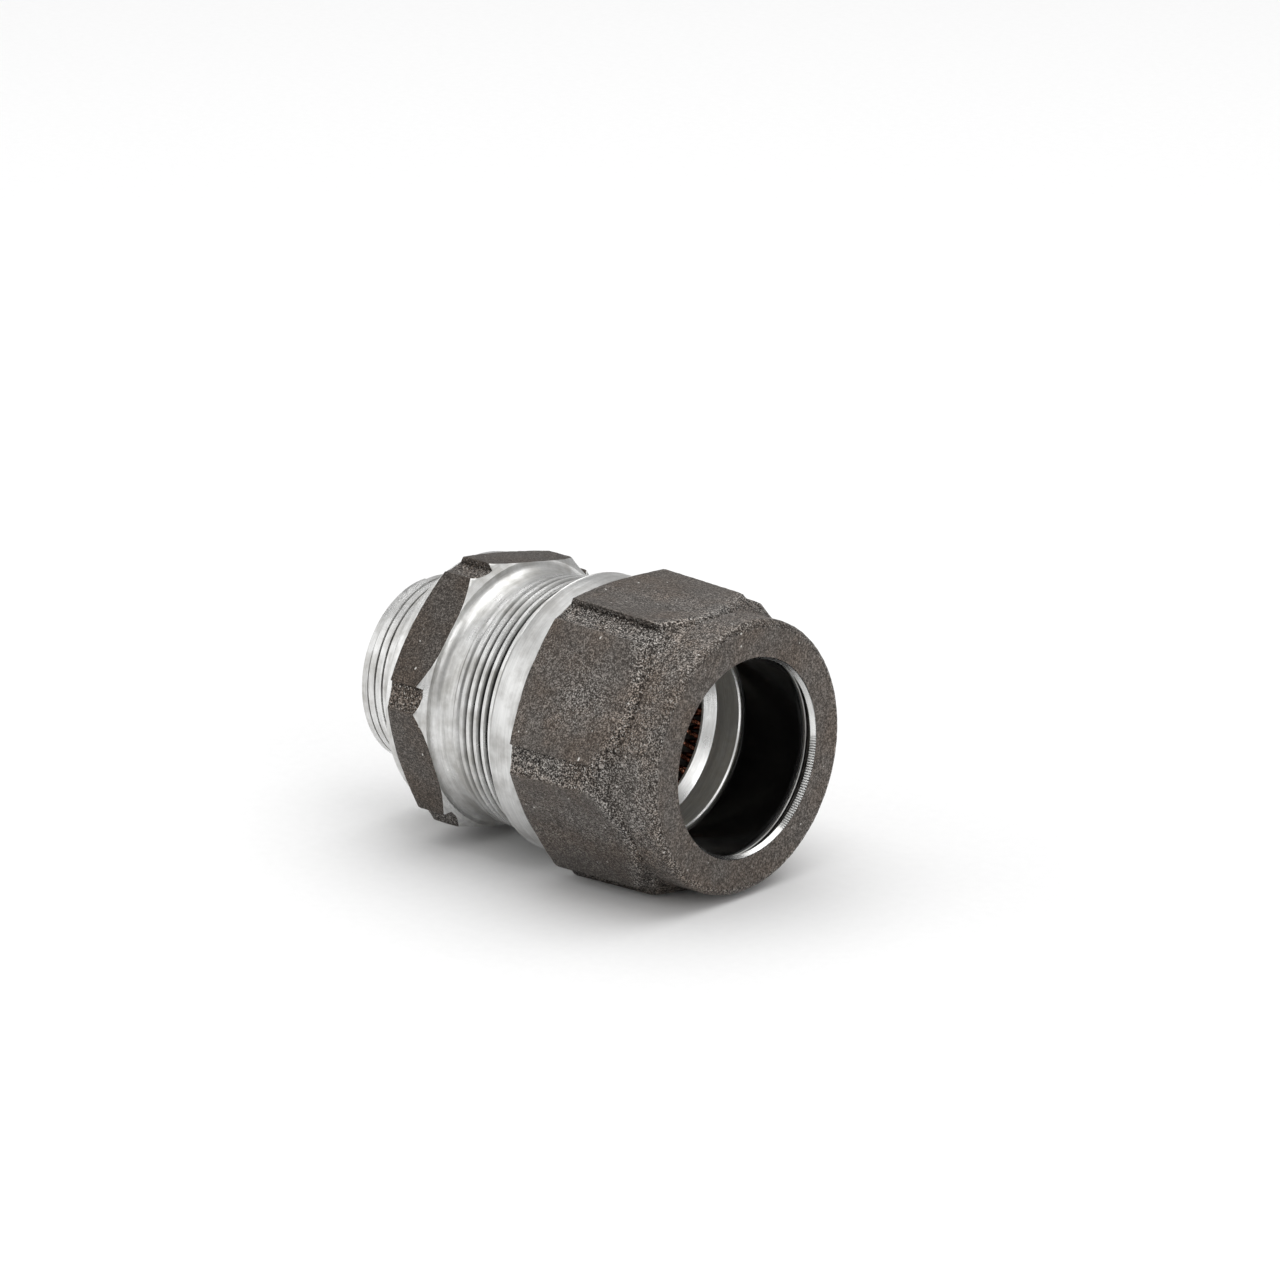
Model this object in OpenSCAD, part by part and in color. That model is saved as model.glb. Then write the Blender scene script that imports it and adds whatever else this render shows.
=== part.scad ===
// Gland fitting for armoured cable, 1-1/4 inch conduit size, lying on its side.
// +X runs along the axis from the hub to the cable mouth, +Z is up.
// The origin is on the axis, in the plane of the shoulder that bears on the enclosure wall.

/* [Hub] */
// Length of the tapered hub thread beyond the shoulder
hub_length = 15.6; // [13:0.1:22]
// Radius over the hub thread at its free end
hub_end_r = 20.66; // [17:0.01:25]
// Axial distance between turns of the hub thread
hub_pitch = 2.209; // [1.8:0.001:2.6]
// Height of the hub thread above its root
hub_thread_depth = 0.9; // [0.6:0.05:1.2]
// Wall of the hub between its thread and the throat that the conductors pass through
hub_wall = 2.26; // [1.5:0.01:6]

/* [Flange] */
// Height of the body's flats above the neck
flange_rise = 1.75; // [1.2:0.05:4]
// Length of the hexagon from the shoulder to where its front cone starts
flange_length = 10.8; // [8:0.1:14]
// Turn of the hexagon about the axis, from a level top flat
flange_turn = -9.8; // [-30:0.1:30]
// Radius of the fillet between the hexagon and the neck
fillet_r = 2.25; // [1:0.05:3]
// Length of the plain neck between the flange's fillet and the gland thread
neck_length = 2.6; // [1.5:0.1:5]

/* [Gland thread] */
// Radius over the gland thread
gland_r = 28; // [27:0.05:34]
// Axial distance between turns of the gland thread
gland_pitch = 2.117; // [1.8:0.001:2.5]
// Height of the gland thread above its root
gland_thread_depth = 1.05; // [0.7:0.05:1.2]
// Length of the plain spigot in front of the gland thread
spigot_length = 11; // [9:0.1:14]
// Wall of the body around the seal bore
seal_wall = 1.65; // [1.2:0.05:2]

/* [Gland nut] */
// Length of the nut
nut_length = 45.4; // [44:0.1:56]
// Wall of the nut between its thread and its flats
flat_wall = 2.45; // [2:0.05:6]
// Length of the plain turned band at the back of the nut
band_length = 7.2; // [5:0.1:10]
// Wall of the nut between its thread and the turned band
band_wall = 2.15; // [1.5:0.05:2.4]
// Length of the cast flats, measured at their corners
nut_flat_length = 21.5; // [18:0.1:24]
// Wall of the nut's round nose
nose_wall = 2.15; // [1.5:0.05:3]
// How far the nut's front wall reaches in over the seal pack, from the bore behind it
mouth_lip = 5.9; // [4:0.1:7.5]
// Thickness of the nut's front wall around the mouth
front_wall = 3; // [2:0.1:4]
// Length of body thread and neck that shows behind the nut as it stands
thread_shown = 16.8; // [9:0.1:19]
// Travel of the nut either way along the body
nut_travel = 6; // [2:0.5:8]
// Distance left between the slip washer and the body's end when the nut is home
home_gap = 3.1; // [1:0.1:6]

/* [Seal pack] */
// Thickness of the slip washer
washer_thickness = 0.8; // [0.5:0.1:1.5]
// Length of the rubber sealing bushing
bushing_length = 17.1; // [14:0.1:21]
// Wall of the rubber bushing
bushing_wall = 3.2; // [2.4:0.1:5]
// Length of the gland ring
ring_length = 9.2; // [7:0.1:12]
// Wall of the gland ring around its bore
ring_wall = 3.7; // [2:0.1:4.5]
// Step in from the gland ring's bore to the land at its back
ring_land_step = 1.95; // [1.5:0.05:3]

/* [Grounding spring] */
// Room left between the spring's coils and the wall of the seal bore
coil_room = 0.75; // [0.3:0.05:2]
// Diameter of the spring's wire
wire_d = 1.1; // [0.8:0.1:1.4]
// Number of coils around the ring
coil_turns = 48; // [36:1:60]

/* [End stop] */
// Length of the armour stop that lines the back of the spring's chamber
stop_length = 5.6; // [3:0.1:8]
// Wall of the armour stop
stop_wall = 2.2; // [1.2:0.1:2.4]

/* [Hidden] */

$fn = 96;
// Play between pieces that slide in each other, and gap between faces that only meet
slide_play = 0.2;
face_gap = 0.1;
// A cutter runs past the face it opens by this much
past = 1;

// Tapered hub: rise of its radius per millimetre, and the length of its plain run-out at the shoulder
hub_rise = 1 / 32;
hub_runout = 6.4;
throat_r = hub_end_r - hub_thread_depth - hub_wall;

// Half the angle that a cast flat covers, and the step down from its lip to the rough corner facet
flat_half_angle = 24.6;
lip_step = 1.3;
lip_lean = 0.6;

// Flange stations along X and radii
gland_root_r = gland_r - gland_thread_depth;
flange_flats = 2 * (gland_root_r + flange_rise);
collar_step = 0.3;
collar_r = flange_flats / 2 - collar_step;
collar_length = 2;
collar_cone = 1.9;
cone_length = 2.2;
fillet_x = flange_length + cone_length;
neck_x = fillet_x + fillet_r;
thread_x = neck_x + neck_length;

// Nut stations
nut_x = neck_x + thread_shown;
nut_end_x = nut_x + nut_length;
hex_x = nut_x + band_length;
hex_cone = 1.9;
flats_end_x = hex_x + hex_cone + nut_flat_length;
shoulder_length = 7;
nose_x = flats_end_x + shoulder_length;
// The turned cones and shoulders of the two hexagons reach past their cast corners
past_corner = 0.4;
flange_turned_r = flange_flats / 2 / cos(flat_half_angle) + past_corner;
thread_play = 0.15;
nut_bore_r = gland_r + thread_play;
nut_flats = 2 * (nut_bore_r + flat_wall);
nut_turned_r = nut_flats / 2 / cos(flat_half_angle) + past_corner;
band_r = nut_bore_r + band_wall;
nut_ridge_turns = 3;
// The nut's ridge runs midway between the turns of the body's thread
nut_ridge_x = thread_x + gland_pitch * (floor((nut_x - thread_x) / gland_pitch) + 2);
cavity_r = gland_root_r + thread_play + slide_play;
nose_r = cavity_r + nose_wall;
mouth_r = cavity_r - mouth_lip;
wall_x = nut_end_x - front_wall;

// Body's front end, thread end and seal bore, and the end of the nut's thread bore
end_cone_length = 1;
end_cone_depth = 0.7;
washer_x = wall_x - slide_play - washer_thickness;
body_end_x = washer_x - nut_travel - home_gap;
spigot_x = body_end_x - spigot_length;
gland_thread_length = spigot_x - thread_x;
seal_bore_r = gland_root_r - seal_wall;
cavity_x = spigot_x + nut_travel + slide_play;

// Seal pack stations, from the nut's front wall back
bushing_x = washer_x - face_gap - bushing_length;
ring_x = bushing_x - face_gap - ring_length;
pack_r = seal_bore_r - slide_play;
bushing_bore_r = pack_r - bushing_wall;
bushing_chamfer = 0.8;
washer_bore_r = bushing_bore_r - 0.1;
ring_lip = 0.5;
ring_land = 0.7;
ring_bore_r = pack_r - ring_wall;
ring_land_r = ring_bore_r - ring_land_step;

// Grounding spring: a coil closed on itself, standing behind the gland ring
coil_d = seal_bore_r - coil_room - ring_land_r - slide_play;
coil_ring_r = ring_land_r + slide_play + coil_d / 2;
coil_x = ring_x - face_gap - slide_play - coil_d / 2;

// Chamber that holds the spring and the armour stop. The gland ring pushes the spring a third of the nut's
// travel, and the chamber's cone stands back that far from where it would touch the spring.
cone_angle = 33;
chamber_step = 3.6;
cone_root_r = throat_r + chamber_step;
cone_run = (seal_bore_r - cone_root_r) / tan(cone_angle);
cone_mouth_x = coil_x - nut_travel / 3
  + ((seal_bore_r - coil_ring_r) * cos(cone_angle) - coil_d / 2 - face_gap) / sin(cone_angle);
stop_clear = 0.6;
stop_seat_x = cone_mouth_x - cone_run - stop_clear;
stop_x = stop_seat_x - stop_length;

// The X axis as the axis of turning, for a profile drawn as [x, radius]
module turned(profile) rotate([90, 0, 90]) rotate_extrude() polygon([for (p = profile) [p[1], p[0]]]);

// A round bar or bore along X
module bar(x, length, r) translate([x, 0, 0]) rotate([0, 90, 0]) cylinder(h = length, r = r);

// Point at an angle from the top, turning towards -Y, as [y, z]
function around(r, angle) = [-r * sin(angle), r * cos(angle)];

// Hexagon with cast corners: each flat ends in a lip, and a rough facet climbs to the next flat
module cast_hexagon(x, length, flats, turn) {
  corner_r = flats / 2 / cos(flat_half_angle);
  outline = [for (side = [0:5]) let (middle = turn + 60 * side) each [
    around(corner_r, middle - flat_half_angle),
    around(corner_r, middle + flat_half_angle),
    around(corner_r - lip_step, middle + flat_half_angle + lip_lean)]];
  translate([x, 0, 0]) rotate([90, 0, 90]) linear_extrude(length) polygon(outline);
}

// Right-hand screw ridge about X, run out to nothing over a third of a turn at both ends.
// depth is positive for an outside thread and negative for an inside one, base and crest are half widths as
// shares of the pitch, and rise is the taper per millimetre.
module ridge(x, root_r, depth, pitch, turns, base = 0.42, crest = 0.1, rise = 0, steps = 30) {
  last = turns * steps;
  // The foot of the ridge is sunk into its cylinder, and so is all of it where it runs out
  sink = 0.25 * sign(depth);
  buried = 0.05 * sign(depth);
  half_base = pitch * base;
  half_crest = pitch * crest;
  section = [[0, -half_base], [1, -half_crest], [1, half_crest], [0, half_base]];
  points = [for (i = [0:last])
    let (angle = 360 * i / steps, fade = min(1, 3 * i / steps, 3 * (last - i) / steps))
    for (q = section)
      let (along = q[1] + pitch * i / steps,
           r = root_r + rise * along + (q[0] == 1 ? depth * fade - buried * (1 - fade) : -sink),
           p = around(r, angle))
      [x + along, p[0], p[1]]];
  skin = [for (i = [0:last - 1]) for (j = [0:3]) let (a = 4 * i + j, b = 4 * i + (j + 1) % 4)
    each [[a, b, a + 4], [b, b + 4, a + 4]]];
  caps = [[3, 2, 1, 0], [4 * last, 4 * last + 1, 4 * last + 2, 4 * last + 3]];
  // An inside ridge has its crest towards the axis, which turns its skin inside out
  faces = concat(skin, caps);
  polyhedron(points, depth > 0 ? faces : [for (f = faces) [for (k = [len(f) - 1:-1:0]) f[k]]]);
}

module fitting_body() color("silver") difference() {
  union() {
    hub();
    flange();
    turned([[0, 0], [0, gland_root_r], [body_end_x - end_cone_length, gland_root_r],
            [body_end_x, gland_root_r - end_cone_depth], [body_end_x, 0]]);
    ridge(thread_x + gland_pitch / 2, gland_root_r, gland_thread_depth, gland_pitch,
          floor((gland_thread_length - gland_pitch) / gland_pitch));
  }
  bar(-hub_length - past, hub_length + stop_x + 2 * past, throat_r);
  bar(stop_x, stop_length + past, cone_root_r);
  turned([[stop_seat_x, 0], [stop_seat_x, cone_root_r], [cone_mouth_x - cone_run, cone_root_r],
          [cone_mouth_x, seal_bore_r], [cone_mouth_x + past, seal_bore_r], [cone_mouth_x + past, 0]]);
  bar(cone_mouth_x, body_end_x - cone_mouth_x + past, seal_bore_r);
}

// Tapered conduit thread and the plain run-out between it and the shoulder
module hub() {
  root_end_r = hub_end_r - hub_thread_depth;
  point_length = 1.2;
  point_depth = 0.9;
  runout_r = hub_end_r + 0.35;
  runout_cone = 0.8;
  turned([[-hub_length, 0], [-hub_length, root_end_r - point_depth], [-hub_length + point_length, root_end_r],
          [-hub_runout, root_end_r + hub_rise * (hub_length - hub_runout)],
          [-hub_runout + runout_cone, runout_r], [0, runout_r], [0, 0]]);
  turns = floor((hub_length - hub_runout - point_length) / hub_pitch) + 1;
  ridge(-hub_length + point_length, root_end_r, hub_thread_depth, hub_pitch, turns, rise = hub_rise);
}

// Cast hexagon, turned back to a cone on both faces, with a round collar at the shoulder and a fillet at
// the neck
module flange() intersection() {
  cast_hexagon(0, neck_x, flange_flats, flange_turn);
  turned(concat(
    [[0, 0], [0, collar_r], [collar_length, collar_r], [collar_length + collar_cone, flange_turned_r],
     [flange_length, flange_turned_r]],
    neck_fillet(), [[neck_x, 0]]));
}
function neck_fillet(steps = 8) = [for (i = [0:steps]) let (a = 90 * i / steps)
  [neck_x - fillet_r * cos(a), gland_root_r + fillet_r * (1 - sin(a))]];

module gland_nut() color("dimgray") difference() {
  union() {
    bar(nut_x, hex_x - nut_x + past, band_r);
    intersection() {
      cast_hexagon(hex_x, nut_end_x - hex_x, nut_flats, 0);
      turned(hex_envelope());
    }
    nose();
  }
  difference() {
    bar(nut_x - past, cavity_x - nut_x + past, nut_bore_r);
    ridge(nut_ridge_x, nut_bore_r, thread_play - gland_thread_depth, gland_pitch, nut_ridge_turns,
          base = 0.34, crest = 0.06);
  }
  bar(nut_x, wall_x - nut_x, cavity_r);
  bar(nut_x, nut_end_x - nut_x + past, mouth_r);
}

// Cone that the back of the flats is turned to, and the hollow shoulder down to the nose
function hex_envelope() = concat(
  [[hex_x, 0], [hex_x, band_r], [hex_x + hex_cone, nut_turned_r], [flats_end_x, nut_turned_r]],
  shoulder(), [[nose_x, 0]]);
function shoulder(steps = 8, hollow = 1.7) = [for (i = [1:steps])
  let (u = i / steps) [flats_end_x + (nose_x - flats_end_x) * u,
                       nose_r + (nut_turned_r - nose_r) * pow(1 - u, hollow)]];

// Round nose with a rounded front edge
module nose() {
  round_r = 1.8;
  steps = 6;
  turned(concat([[hex_x, 0], [hex_x, nose_r]],
    [for (i = [0:steps]) let (a = 90 * i / steps)
      [nut_end_x - round_r * (1 - sin(a)), nose_r - round_r * (1 - cos(a))]],
    [[nut_end_x, 0]]));
}

module slip_washer() color("lightgray") difference() {
  bar(washer_x, washer_thickness, cavity_r - slide_play);
  bar(washer_x - past, washer_thickness + 2 * past, washer_bore_r);
}

module sealing_bushing() color("black") difference() {
  turned([[bushing_x, 0], [bushing_x, pack_r - bushing_chamfer], [bushing_x + bushing_chamfer, pack_r],
          [bushing_x + bushing_length, pack_r], [bushing_x + bushing_length, 0]]);
  bar(bushing_x - past, bushing_length + 2 * past, bushing_bore_r);
}

module gland_ring() color("gainsboro") difference() {
  bar(ring_x, ring_length, pack_r);
  bar(ring_x - past, ring_length + 2 * past, ring_land_r);
  turned([[ring_x + ring_land, 0], [ring_x + ring_land, ring_land_r],
          [ring_x + ring_land + ring_land_step, ring_bore_r], [ring_x + ring_length + past, ring_bore_r],
          [ring_x + ring_length + past, 0]]);
  turned([[ring_x + ring_length - ring_lip, 0], [ring_x + ring_length - ring_lip, ring_bore_r],
          [ring_x + ring_length, ring_bore_r + ring_lip],
          [ring_x + ring_length + past, ring_bore_r + ring_lip], [ring_x + ring_length + past, 0]]);
}

// One wire wound as a coil and bent round until its ends meet
module grounding_spring() color("sienna") {
  steps = 8;
  sides = 4;
  last = coil_turns * steps;
  wind_r = (coil_d - wire_d) / 2;
  points = [for (i = [0:last - 1])
    let (along = 360 * i / last, wind = 360 * i / steps)
    for (j = [0:sides - 1])
      let (side = 360 * j / sides + 45, out = wind_r + wire_d / 2 * cos(side),
           lean = wire_d / 2 * sin(side), r = coil_ring_r + out * cos(wind),
           p = around(r, along), t = around(lean, along + 90))
      [coil_x + out * sin(wind), p[0] + t[0], p[1] + t[1]]];
  count = len(points);
  faces = [for (i = [0:last - 1]) for (j = [0:sides - 1])
    let (a = sides * i + j, b = sides * i + (j + 1) % sides, c = (a + sides) % count, d = (b + sides) % count)
    each [[a, c, b], [b, c, d]]];
  polyhedron(points, faces);
}

module end_stop() color("ivory") difference() {
  bar(stop_x, stop_length, cone_root_r);
  bar(stop_x - past, stop_length + 2 * past, cone_root_r - stop_wall);
}

fitting_body();
gland_nut();
slip_washer();
sealing_bushing();
gland_ring();
grounding_spring();
end_stop();
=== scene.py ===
# %% [markdown]
# # A gland fitting for armoured cable
# The fitting lies on its side on a pale floor. Its body screws into an enclosure, the cable enters through
# the big cast nut, and the nut squeezes a rubber bushing, a ring and a spring on the cable as it is
# tightened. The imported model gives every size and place, so the first step is to load it and to keep its box.

import math

import bpy
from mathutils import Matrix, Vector, noise


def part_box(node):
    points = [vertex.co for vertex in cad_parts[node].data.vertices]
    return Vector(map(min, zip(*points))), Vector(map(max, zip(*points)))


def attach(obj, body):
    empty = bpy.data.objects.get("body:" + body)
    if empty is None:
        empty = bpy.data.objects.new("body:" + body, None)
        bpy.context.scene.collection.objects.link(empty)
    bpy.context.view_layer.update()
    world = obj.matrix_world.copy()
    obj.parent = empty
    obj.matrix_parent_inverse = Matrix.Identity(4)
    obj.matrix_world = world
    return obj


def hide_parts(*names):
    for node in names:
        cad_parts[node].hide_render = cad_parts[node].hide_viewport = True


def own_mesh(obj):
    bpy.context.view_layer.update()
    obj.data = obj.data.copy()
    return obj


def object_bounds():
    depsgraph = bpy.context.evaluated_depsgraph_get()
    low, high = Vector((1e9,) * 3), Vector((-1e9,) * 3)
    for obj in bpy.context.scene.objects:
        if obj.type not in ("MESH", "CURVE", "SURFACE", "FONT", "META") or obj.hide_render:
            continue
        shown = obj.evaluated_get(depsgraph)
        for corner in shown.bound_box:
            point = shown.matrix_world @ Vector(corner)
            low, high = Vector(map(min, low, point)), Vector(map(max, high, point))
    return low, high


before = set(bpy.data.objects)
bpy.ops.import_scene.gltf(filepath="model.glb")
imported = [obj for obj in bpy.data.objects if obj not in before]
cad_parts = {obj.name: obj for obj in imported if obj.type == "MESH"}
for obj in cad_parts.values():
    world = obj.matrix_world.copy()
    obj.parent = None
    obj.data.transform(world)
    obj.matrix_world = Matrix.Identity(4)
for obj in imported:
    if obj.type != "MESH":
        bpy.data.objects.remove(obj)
cad_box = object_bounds()
MM = 0.001
print("model box, mm:", [round(v / MM, 2) for corner in cad_box for v in corner])


# %% [markdown]
# The axis of the fitting is X, from the hub to the cable mouth. The stations along it are in millimetres, and
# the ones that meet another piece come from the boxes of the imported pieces.

# %% Stations along the axis
def low_x(node):
    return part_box(node)[0].x / MM


def high_x(node):
    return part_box(node)[1].x / MM


def outer_r(node):
    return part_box(node)[1].y / MM


hub_x = low_x("fitting_body")
body_end_x = high_x("fitting_body")
nut_x = low_x("gland_nut")
nut_end_x = high_x("gland_nut")
pack_r = outer_r("gland_ring")
floor_z = cad_box[0].z
print("hub end", round(hub_x, 2), "nut", round(nut_x, 2), "to", round(nut_end_x, 2))


# %% [markdown]
# Every operator acts on what is selected, and loading the model leaves its pieces selected. This helper
# clears the selection before a new primitive is added.

# %% Starting a piece
def deselect_all():
    if bpy.context.object and bpy.context.object.mode == "EDIT":
        bpy.ops.object.mode_set(mode="OBJECT")
    bpy.ops.object.select_all(action="DESELECT")


def finish_mesh(piece, sharp_angle):
    """Merges doubles, points the faces outwards, and shades smooth up to an angle."""
    deselect_all()
    bpy.context.view_layer.objects.active = piece
    piece.select_set(True)
    bpy.ops.object.mode_set(mode="EDIT")
    bpy.ops.mesh.select_all(action="SELECT")
    bpy.ops.mesh.remove_doubles(threshold=0.002 * MM)
    bpy.ops.mesh.normals_make_consistent(inside=False)
    bpy.ops.object.mode_set(mode="OBJECT")
    bpy.ops.object.shade_smooth_by_angle(angle=math.radians(sharp_angle))
    print(piece.name, len(piece.data.polygons), "faces")
    return piece


# %% [markdown]
# Most pieces are rings turned on a lathe. A ring could be cut from cylinders, but a lathe works with a
# profile, and so does Blender's Spin: one vertex is extruded along the outline of the section, and the
# outline is spun round the axis. The profile is a closed list of points, each with its place along the axis
# and its radius.

# %% A turned piece
def turned(name, profile, steps=256, sharp_angle=30):
    deselect_all()
    bpy.ops.mesh.primitive_plane_add(size=MM)
    piece = bpy.context.object
    piece.name = name
    bpy.ops.object.mode_set(mode="EDIT")
    bpy.ops.mesh.select_all(action="SELECT")
    bpy.ops.mesh.merge(type="CENTER")
    x, r = profile[0]
    bpy.ops.transform.translate(value=(x * MM, 0, r * MM))
    for next_x, next_r in profile[1:] + profile[:1]:
        step = ((next_x - x) * MM, 0, (next_r - r) * MM)
        bpy.ops.mesh.extrude_vertices_move(TRANSFORM_OT_translate={"value": step})
        x, r = next_x, next_r
    bpy.ops.mesh.select_all(action="SELECT")
    bpy.ops.mesh.spin(steps=steps, angle=2 * math.pi, center=(0, 0, 0), axis=(1, 0, 0))
    return finish_mesh(piece, sharp_angle)


# %% [markdown]
# The nut and the flange of the body are cast hexagons, so their outline changes round the axis. They are made
# as a stack of rings: a circle is added and extruded once for each ring, and then each vertex is drawn to its
# place on the casting by a rule. The first and last rings are bridged, which closes the piece into a loop
# that has its outside, its front face, its bore and its back face. Each ring says which finish it has, and a
# face takes the finish of its second ring, so the edges between cast and turned metal are crisp.

# %% A piece made of drawn rings
TURNED = 0
CAST = 1
# The nut's bright mouth, or the body's pale run-out
ACCENT = 2
INSIDE = 3


def stacked_rings(name, angles, rings, place, wear_and_lighting):
    """place(ring, angle) gives the point of a vertex in mm, and the second rule gives its blasting, which also
    holds painted light, and its grime, which also holds painted shade, each from 0 to 1. Angles are degrees
    from the top towards -Y."""
    deselect_all()
    count = len(angles)
    bpy.ops.mesh.primitive_circle_add(vertices=count, radius=1, rotation=(0, math.pi / 2, 0))
    bpy.ops.object.transform_apply(location=True, rotation=True, scale=True)
    piece = bpy.context.object
    piece.name = name
    bpy.ops.object.mode_set(mode="EDIT")
    bpy.ops.mesh.select_all(action="SELECT")
    for ring in range(1, len(rings)):
        bpy.ops.mesh.extrude_edges_move(TRANSFORM_OT_translate={"value": (1, 0, 0)})
    bpy.ops.mesh.select_all(action="DESELECT")
    bpy.ops.mesh.select_non_manifold()
    bpy.ops.mesh.bridge_edge_loops()
    bpy.ops.object.mode_set(mode="OBJECT")
    marks = piece.data.attributes.new("finish", "INT", "FACE")
    for face in piece.data.polygons:
        along = [round(piece.data.vertices[index].co.x) for index in face.vertices]
        if max(along) - min(along) == 1:
            marks.data[face.index].value = min(rings[min(along)][0], rings[max(along)][0], key=finish_rank)
    # Blasting here also holds painted light, and grime also holds painted shade.
    blasting_and_light = piece.data.attributes.new("blasting_and_light", "FLOAT", "POINT")
    grime_and_shade = piece.data.attributes.new("grime_and_shade", "FLOAT", "POINT")
    for vertex in piece.data.vertices:
        ring = rings[round(vertex.co.x)]
        turn = math.degrees(math.atan2(-vertex.co.y, vertex.co.z)) % 360
        column = round(turn * count / 360) % count
        x, r = place(ring, angles[column])
        around = math.radians(angles[column])
        vertex.co = Vector((x, -r * math.sin(around), r * math.cos(around))) * MM
        blasting_and_light.data[vertex.index].value, grime_and_shade.data[vertex.index].value = wear_and_lighting(ring, angles[column])
    return piece


def finish_rank(finish):
    """Where two rings differ, a turned cut wins over the cast skin beside it."""
    return (TURNED, INSIDE, ACCENT, CAST).index(finish)


# %% [markdown]
# A cast hexagon is not six sharp corners. Each flat ends in a lip, a step goes down from the lip, and a rough
# facet climbs from there to the next flat. The outline is written as a radius at each angle, and columns of
# vertices stand closer where the outline turns.

# %% Outline of a cast hexagon
FLAT_HALF = 24.6
LIP_LEAN = 0.6
LIP_STEP = 1.3
LIP_WEAR = 0.12
FACET_HOLLOW = 2.2


def hexagon_angles(turn, flat_steps=36, facet_steps=12):
    angles = []
    for side in range(6):
        middle = turn + 60 * side
        for step in range(flat_steps):
            angles.append(middle - FLAT_HALF + 2 * FLAT_HALF * step / flat_steps)
        angles += [middle + FLAT_HALF - 0.35, middle + FLAT_HALF, middle + FLAT_HALF + LIP_LEAN]
        facet = 60 - 2 * FLAT_HALF - LIP_LEAN
        for step in range(1, facet_steps):
            angles.append(middle + FLAT_HALF + LIP_LEAN + facet * step / facet_steps)
    return angles


def hexagon_r(angle, flats, turn):
    """Radius of the outline, and True where the angle is on a rough facet."""
    side = (angle - turn + FLAT_HALF + 1e-6) % 60 - FLAT_HALF
    corner = flats / 2 / math.cos(math.radians(FLAT_HALF))
    foot = FLAT_HALF + LIP_LEAN
    if side <= FLAT_HALF - 0.3:
        return flats / 2 / math.cos(math.radians(side)), False
    if side <= FLAT_HALF + 0.001:
        return corner - LIP_WEAR, False
    if side <= foot + 0.001:
        return corner - LIP_STEP, True
    share = ((side - foot) / (60 - FLAT_HALF - foot)) ** FACET_HOLLOW
    middle = (foot + 60 - FLAT_HALF) / 2
    sag = 1 - math.cos(math.radians(side - middle)) / math.cos(math.radians(middle - foot))
    return (corner - LIP_STEP * (1 - share)) * (1 + sag), True


# %% [markdown]
# Sand casting and shot blasting leave lumps as well as grain. The lumps are big enough to change the outline,
# so they are moved vertices, taken off the surface so that nothing stands proud of the model. The grain is
# too fine for vertices and comes later as bump in the material.

# %% Lumps of a casting
def lumps(x, angle, r, size, depth):
    around = math.radians(angle)
    spot = Vector((x, r * math.sin(around), r * math.cos(around)))
    coarse = noise.noise(spot / size)
    fine = noise.noise(spot / size * 2.7 + Vector((7, 3, 5)))
    return depth * min(1, max(0, 0.5 + 0.7 * coarse + 0.35 * fine))


# %% [markdown]
# ## The gland nut
# The nut is cast, then turned on a lathe at its back. From the back it has a narrow turned band, a cone where
# the lathe cut into the corners, the cast flats, a hollow shoulder, and a round nose with the cable mouth.
# A cone cuts a flat hexagon in curved edges, and those edges have to be crisp, so the rings of vertices are
# bent to run along them: each column of vertices starts its flat where the cone meets it.

# %% Sizes of the nut
NUT_FLATS = 61.2
BAND_R = 30.3
NOSE_R = 29.45
MOUTH_R = 21.4
MOUTH_THROAT_R = 20.95
NUT_BORE_R = 28.15
CAVITY_R = 27.3
hex_x = nut_x + 7.2
HEX_CONE = 1.9
flats_end_x = hex_x + HEX_CONE + 21.5
nose_x = flats_end_x + 7
NUT_TURNED_R = NUT_FLATS / 2 / math.cos(math.radians(FLAT_HALF)) + 0.4
wall_x = nut_end_x - 3
cavity_x = nut_x + 27.5
FLAT_DRAFT = 0.8
MOUTH_DEPTH = 1.2


def shoulder_r(x):
    along = min(1, max(0, (x - flats_end_x) / (nose_x - flats_end_x)))
    return NOSE_R + (NUT_TURNED_R - NOSE_R) * (1 - along) ** 1.7


def drafted_r(x, angle):
    """The flats draw in a little towards the front, as a casting must to leave its mould."""
    r, facet = hexagon_r(angle, NUT_FLATS, 0)
    return r - FLAT_DRAFT * (x - hex_x) / (flats_end_x - hex_x), facet


def shoulder_start(angle):
    """Where the shoulder cuts into the flat or facet at this angle."""
    near, far = flats_end_x, nose_x
    for halving in range(24):
        middle = (near + far) / 2
        if shoulder_r(middle) > max(drafted_r(middle, angle)[0], NOSE_R + 0.05):
            near = middle
        else:
            far = middle
    return far


# %% [markdown]
# The rings are listed from the back of the nut round to its inside: each has its finish, its part, and how
# far along that part it lies. Long parts get many rings, so that the lumps of the casting can show.

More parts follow.
